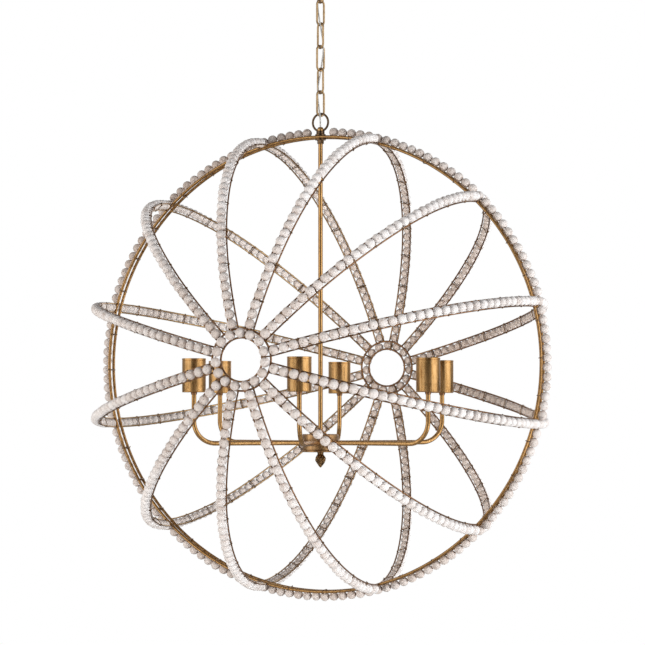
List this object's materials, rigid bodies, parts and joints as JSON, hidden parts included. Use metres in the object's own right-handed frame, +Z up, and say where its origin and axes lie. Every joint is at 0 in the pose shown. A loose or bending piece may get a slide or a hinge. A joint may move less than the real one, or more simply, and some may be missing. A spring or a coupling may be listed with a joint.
{
  "type": "beaded orb chandelier",
  "caption": "Wire sphere with ribs and rim strung with whitewashed wooden beads, hung on a chain from a ceiling plate, with brass arms and lamp cups on a centre stem.",
  "frame": {"origin": "middle of the mounting strap's upper face, on the ceiling plane", "axes": "+Z up, out of the strap into the ceiling box; Y runs through both hubs, the front hub at -Y"},
  "size_m": [0.8182, 0.8078, 1.1423],
  "materials": {
    "antique_brass": "brushed antique gold",
    "bead_wood": "whitewashed",
    "lead_jacket": "silver",
    "wire_jacket": "plain",
    "porcelain": "glazed",
    "shell_brass": "plain",
    "string_wire": "darkened",
    "zinc_steel": "zinc plated",
    "ground_green": "painted"
  },
  "bodies": {
    "ceiling_plate": {"mounting_strap": "zinc_steel", "ground_screw": "ground_green", "canopy": "antique_brass", "canopy_nipple": "zinc_steel", "nipple_lock_nut": "zinc_steel", "canopy_ring_nut": "antique_brass", "canopy_loop": "antique_brass", "supply_lead_1": "lead_jacket"},
    "link_1": {"chain_link_1": "antique_brass", "supply_lead_2": "lead_jacket"},
    "link_2": {"chain_link_2": "antique_brass", "supply_lead_3": "lead_jacket"},
    "link_3": {"chain_link_3": "antique_brass", "supply_lead_4": "lead_jacket"},
    "link_4": {"chain_link_4": "antique_brass", "supply_lead_5": "lead_jacket"},
    "link_5": {"chain_link_5": "antique_brass", "supply_lead_6": "lead_jacket"},
    "link_6": {"chain_link_6": "antique_brass", "supply_lead_7": "lead_jacket"},
    "orb": {"top_loop": "antique_brass", "rim_washers": "antique_brass", "stem_nuts": "antique_brass", "centre_stem": "antique_brass", "stem_lead": "lead_jacket", "drum_body": "antique_brass", "drum_cover": "antique_brass", "finial": "antique_brass", "lamp_arms": "antique_brass", "arm_wires": "wire_jacket", "socket_cups": "antique_brass", "lampholders": "porcelain", "screw_shells": "shell_brass", "centre_contacts": "shell_brass", "rim_beads": "bead_wood", "bead_strings": "string_wire", "tie_wires": "string_wire", "front_rim_ring": "antique_brass", "front_hub_inner_ring": "antique_brass", "front_hub_outer_ring": "antique_brass", "front_hub_beads": "bead_wood", "rear_rim_ring": "antique_brass", "rear_hub_inner_ring": "antique_brass", "rear_hub_outer_ring": "antique_brass", "rear_hub_beads": "bead_wood", "rib_wires_1": "antique_brass", "rib_beads_1": "bead_wood", "rib_wires_2": "antique_brass", "rib_beads_2": "bead_wood", "rib_wires_3": "antique_brass", "rib_beads_3": "bead_wood", "rib_wires_4": "antique_brass", "rib_beads_4": "bead_wood", "rib_wires_5": "antique_brass", "rib_beads_5": "bead_wood", "rib_wires_6": "antique_brass", "rib_beads_6": "bead_wood"}
  },
  "joints": [
    {"name": "ceiling_plate_to_link_1", "type": "hinge", "parent": "ceiling_plate", "child": "link_1", "pos_m": [0, 0, -0.0678], "axis": [0.5592, 0.829, 0], "range_deg": [-12, 12], "deforming": ["supply_lead_1"]},
    {"name": "link_1_to_link_2", "type": "hinge", "parent": "link_1", "child": "link_2", "pos_m": [0, 0, -0.10705], "axis": [-0.829, 0.5592, 0], "range_deg": [-12, 12], "deforming": ["supply_lead_2"]},
    {"name": "link_2_to_link_3", "type": "hinge", "parent": "link_2", "child": "link_3", "pos_m": [0, 0, -0.1464], "axis": [0.5592, 0.829, 0], "range_deg": [-12, 12], "deforming": ["supply_lead_3"]},
    {"name": "link_3_to_link_4", "type": "hinge", "parent": "link_3", "child": "link_4", "pos_m": [0, 0, -0.18575], "axis": [-0.829, 0.5592, 0], "range_deg": [-12, 12], "deforming": ["supply_lead_4"]},
    {"name": "link_4_to_link_5", "type": "hinge", "parent": "link_4", "child": "link_5", "pos_m": [0, 0, -0.2251], "axis": [0.5592, 0.829, 0], "range_deg": [-12, 12], "deforming": ["supply_lead_5"]},
    {"name": "link_5_to_link_6", "type": "hinge", "parent": "link_5", "child": "link_6", "pos_m": [0, 0, -0.26445], "axis": [-0.829, 0.5592, 0], "range_deg": [-12, 12], "deforming": ["supply_lead_6"]},
    {"name": "link_6_to_orb", "type": "hinge", "parent": "link_6", "child": "orb", "pos_m": [0, 0, -0.3038], "axis": [0.5592, 0.829, 0], "range_deg": [-12, 12], "deforming": ["supply_lead_7"]}
  ]
}
